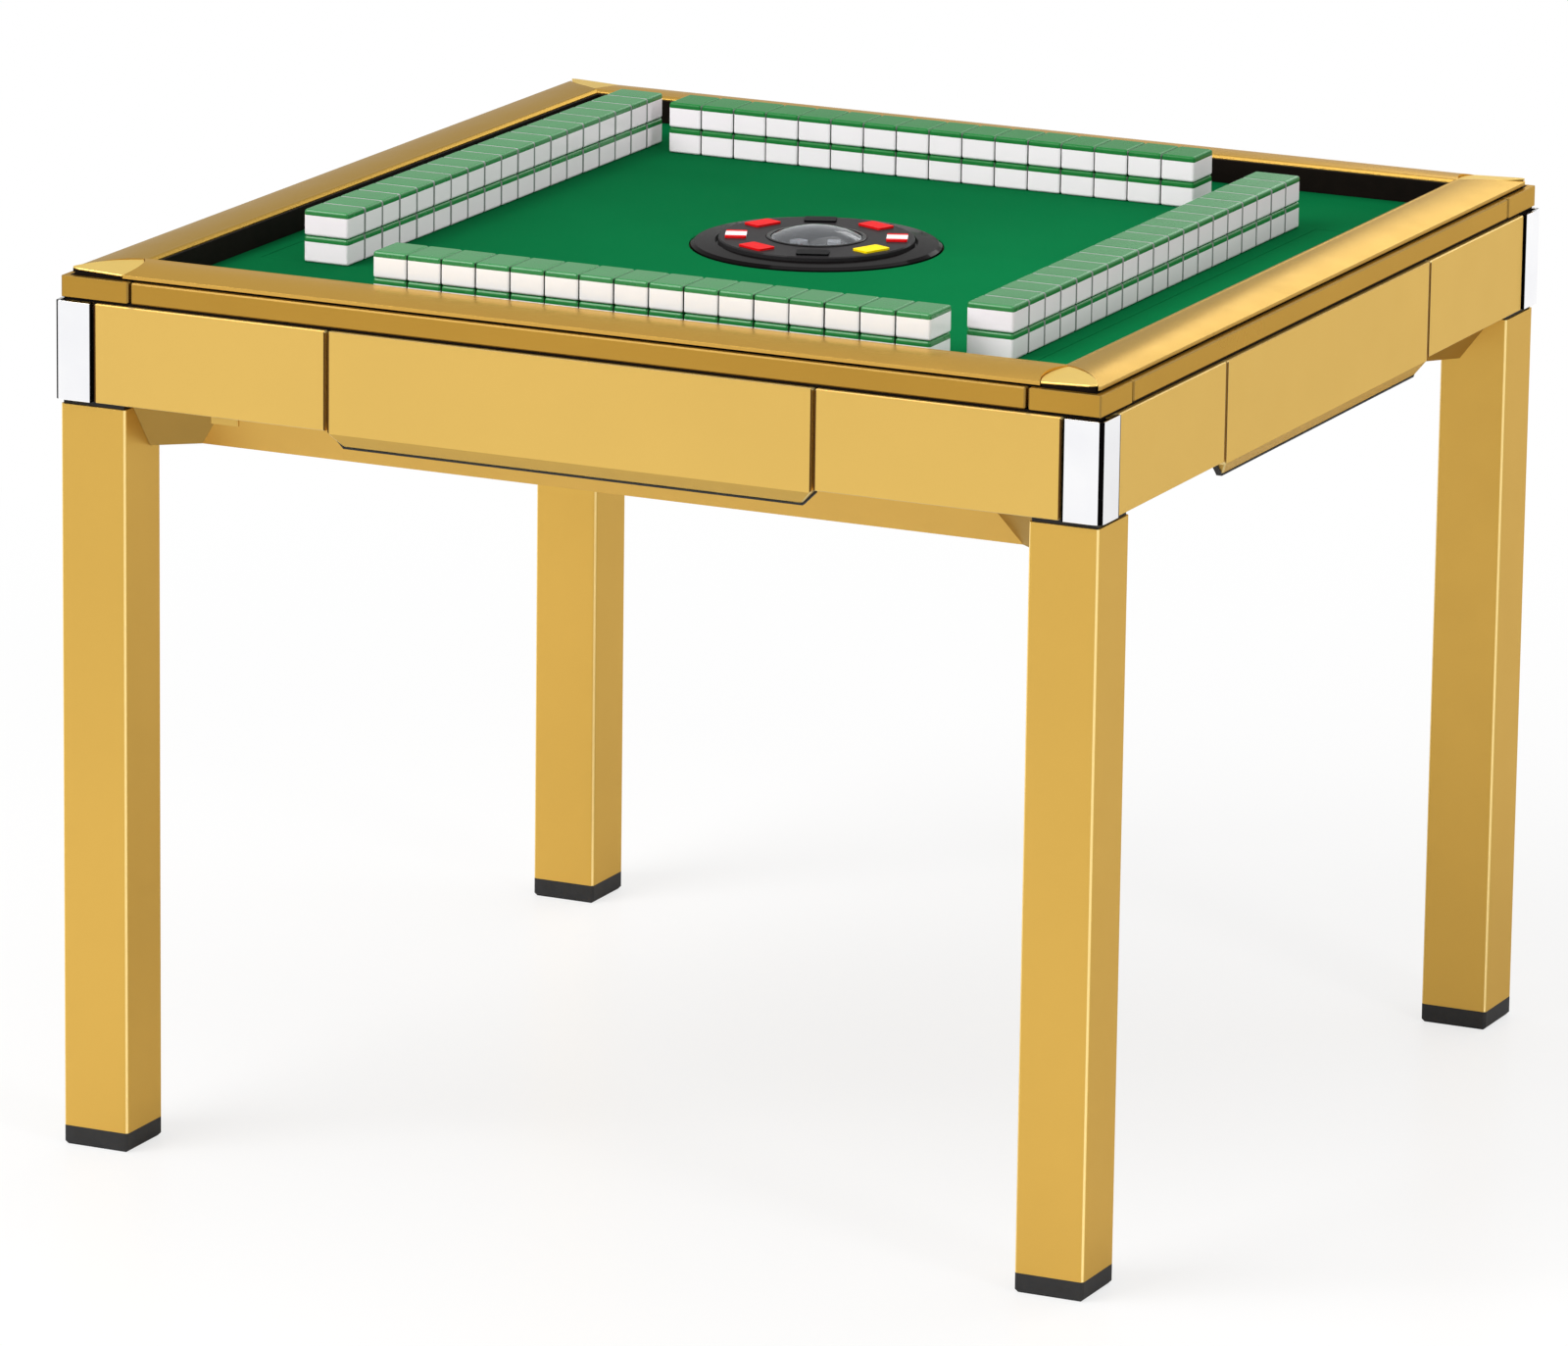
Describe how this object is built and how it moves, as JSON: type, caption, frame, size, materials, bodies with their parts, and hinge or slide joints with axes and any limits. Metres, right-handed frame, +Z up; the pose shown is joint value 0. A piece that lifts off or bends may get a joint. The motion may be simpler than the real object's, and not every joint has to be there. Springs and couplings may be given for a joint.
{
  "type": "automatic mahjong table",
  "caption": "Square gold mahjong table with a drawer in each apron, felt top with rails, round button console, tile walls on lifts and a shuffling disc inside.",
  "frame": {"origin": "on the floor at the middle of the table", "axes": "+Z up, -Y out of the front drawer, +X out of the right drawer"},
  "size_m": [0.9, 0.9, 0.7416],
  "materials": {
    "gold_tub": "satin metallic gold paint",
    "gold_leg": "satin metallic gold paint on steel tube",
    "black_rubber": "matt",
    "steel": "zinc plated",
    "black_steel": "black powder coat",
    "chrome_post": "polished",
    "gold_panel": "satin metallic gold paint, fine brushed grain",
    "grey_tray": "fine grained",
    "gold_trim": "satin metallic gold",
    "gold_rail": "satin metallic gold",
    "wood_board": "raw fibreboard",
    "green_felt": "short green nap",
    "console_black": "gloss black",
    "machine_grey": "moulded",
    "key_red": "gloss, lit red",
    "key_black": "gloss black",
    "key_white": "translucent white",
    "key_yellow": "gloss, lit yellow",
    "clear_cover": "clear smoked",
    "dice_white": "gloss",
    "lift_plate": "milled",
    "tile_resin": "polished resin, white with green back",
    "motor_black": "moulded black",
    "wheel_rubber": "matt",
    "board_green": "solder mask"
  },
  "bodies": {
    "table": {"base_tub": "gold_tub", "leg_front_left": "gold_leg", "leg_front_right": "gold_leg", "leg_back_right": "gold_leg", "leg_back_left": "gold_leg", "rubber_feet": "black_rubber", "leg_brackets": "black_steel", "leg_bolts": "steel", "corner_posts": "chrome_post", "apron_front": "gold_panel", "apron_right": "gold_panel", "apron_back": "gold_panel", "apron_left": "gold_panel", "drawer_runners": "steel", "trim_bands": "gold_trim", "trim_corner_blocks": "gold_trim", "top_rail_front": "gold_rail", "top_rail_right": "gold_rail", "top_rail_back": "gold_rail", "top_rail_left": "gold_rail", "rail_corner_caps": "gold_rail", "table_board": "wood_board", "playing_felt": "green_felt", "main_frame": "steel", "machine_deck": "steel", "disc_bearing": "steel", "disc_motor": "motor_black", "control_board": "board_green", "power_inlet": "motor_black"},
    "drawer_front": {"drawer_face_front": "gold_panel", "drawer_tray_front": "grey_tray"},
    "drawer_right": {"drawer_face_right": "gold_panel", "drawer_tray_right": "grey_tray"},
    "drawer_back": {"drawer_face_back": "gold_panel", "drawer_tray_back": "grey_tray"},
    "drawer_left": {"drawer_face_left": "gold_panel", "drawer_tray_left": "grey_tray"},
    "console": {"console_body": "console_black", "console_column": "machine_grey", "dice_dome": "clear_cover"},
    "key_e": {"console_key_e": "key_white"},
    "key_ne": {"console_key_ne": "key_red"},
    "key_n": {"console_key_n": "key_black"},
    "key_nw": {"console_key_nw": "key_red"},
    "key_w": {"console_key_w": "key_white"},
    "key_sw": {"console_key_sw": "key_red"},
    "key_s": {"console_key_s": "key_black"},
    "key_se": {"console_key_se": "key_yellow"},
    "dice_shaker": {"dice_plate": "machine_grey", "dice": "dice_white"},
    "lift_front": {"wall_lift_front": "lift_plate"},
    "lift_right": {"wall_lift_right": "lift_plate"},
    "lift_back": {"wall_lift_back": "lift_plate"},
    "lift_left": {"wall_lift_left": "lift_plate"},
    "wall_front": {"tile_wall_front": "tile_resin"},
    "wall_right": {"tile_wall_right": "tile_resin"},
    "wall_back": {"tile_wall_back": "tile_resin"},
    "wall_left": {"tile_wall_left": "tile_resin"},
    "shuffle_disc": {"shuffle_disc": "machine_grey"},
    "drive_wheel": {"drive_wheel": "wheel_rubber"}
  },
  "joints": [
    {"name": "drawer_front_slide", "type": "slide", "parent": "table", "child": "drawer_front", "axis": [0, -1, 0], "range_m": [0, 0.11]},
    {"name": "drawer_right_slide", "type": "slide", "parent": "table", "child": "drawer_right", "axis": [1, 0, 0], "range_m": [0, 0.11]},
    {"name": "drawer_back_slide", "type": "slide", "parent": "table", "child": "drawer_back", "axis": [0, 1, 0], "range_m": [0, 0.11]},
    {"name": "drawer_left_slide", "type": "slide", "parent": "table", "child": "drawer_left", "axis": [-1, 0, 0], "range_m": [0, 0.11]},
    {"name": "console_lift", "type": "slide", "parent": "table", "child": "console", "axis": [0, 0, 1], "range_m": [0, 0.045]},
    {"name": "key_e_press", "type": "slide", "parent": "console", "child": "key_e", "axis": [0, 0, 1], "range_m": [-0.0012, 0], "stiffness_N_per_m": 400, "springref_m": 0.001},
    {"name": "key_ne_press", "type": "slide", "parent": "console", "child": "key_ne", "axis": [0, 0, 1], "range_m": [-0.0012, 0], "stiffness_N_per_m": 400, "springref_m": 0.001},
    {"name": "key_n_press", "type": "slide", "parent": "console", "child": "key_n", "axis": [0, 0, 1], "range_m": [-0.0012, 0], "stiffness_N_per_m": 400, "springref_m": 0.001},
    {"name": "key_nw_press", "type": "slide", "parent": "console", "child": "key_nw", "axis": [0, 0, 1], "range_m": [-0.0012, 0], "stiffness_N_per_m": 400, "springref_m": 0.001},
    {"name": "key_w_press", "type": "slide", "parent": "console", "child": "key_w", "axis": [0, 0, 1], "range_m": [-0.0012, 0], "stiffness_N_per_m": 400, "springref_m": 0.001},
    {"name": "key_sw_press", "type": "slide", "parent": "console", "child": "key_sw", "axis": [0, 0, 1], "range_m": [-0.0012, 0], "stiffness_N_per_m": 400, "springref_m": 0.001},
    {"name": "key_s_press", "type": "slide", "parent": "console", "child": "key_s", "axis": [0, 0, 1], "range_m": [-0.0012, 0], "stiffness_N_per_m": 400, "springref_m": 0.001},
    {"name": "key_se_press", "type": "slide", "parent": "console", "child": "key_se", "axis": [0, 0, 1], "range_m": [-0.0012, 0], "stiffness_N_per_m": 400, "springref_m": 0.001},
    {"name": "dice_shake", "type": "slide", "parent": "console", "child": "dice_shaker", "axis": [0, 0, 1], "range_m": [0, 0.002]},
    {"name": "lift_front_travel", "type": "slide", "parent": "table", "child": "lift_front", "axis": [0, 0, 1], "range_m": [-0.045, 0]},
    {"name": "lift_right_travel", "type": "slide", "parent": "table", "child": "lift_right", "axis": [0, 0, 1], "range_m": [-0.045, 0]},
    {"name": "lift_back_travel", "type": "slide", "parent": "table", "child": "lift_back", "axis": [0, 0, 1], "range_m": [-0.045, 0]},
    {"name": "lift_left_travel", "type": "slide", "parent": "table", "child": "lift_left", "axis": [0, 0, 1], "range_m": [-0.045, 0]},
    {"name": "wall_front_push", "type": "slide", "parent": "lift_front", "child": "wall_front", "axis": [0, 1, 0], "range_m": [0, 0.05]},
    {"name": "wall_right_push", "type": "slide", "parent": "table", "child": "wall_right", "axis": [1, 0, 0], "range_m": [0, 0.055]},
    {"name": "wall_back_push", "type": "slide", "parent": "table", "child": "wall_back", "axis": [0, 1, 0], "range_m": [0, 0.05]},
    {"name": "wall_left_push", "type": "slide", "parent": "table", "child": "wall_left", "axis": [-1, 0, 0], "range_m": [0, 0.038]},
    {"name": "disc_spin", "type": "hinge", "parent": "table", "child": "shuffle_disc", "pos_m": [0, 0, 0.607], "axis": [0, 0, 1], "continuous": true},
    {"name": "drive_wheel_spin", "type": "hinge", "parent": "table", "child": "drive_wheel", "pos_m": [0.15578, 0.15578, 0.607], "axis": [0, 0, 1], "continuous": true}
  ],
  "couplings": [
    {"joint": "drive_wheel_spin", "follows": "disc_spin", "ratio": -10}
  ]
}
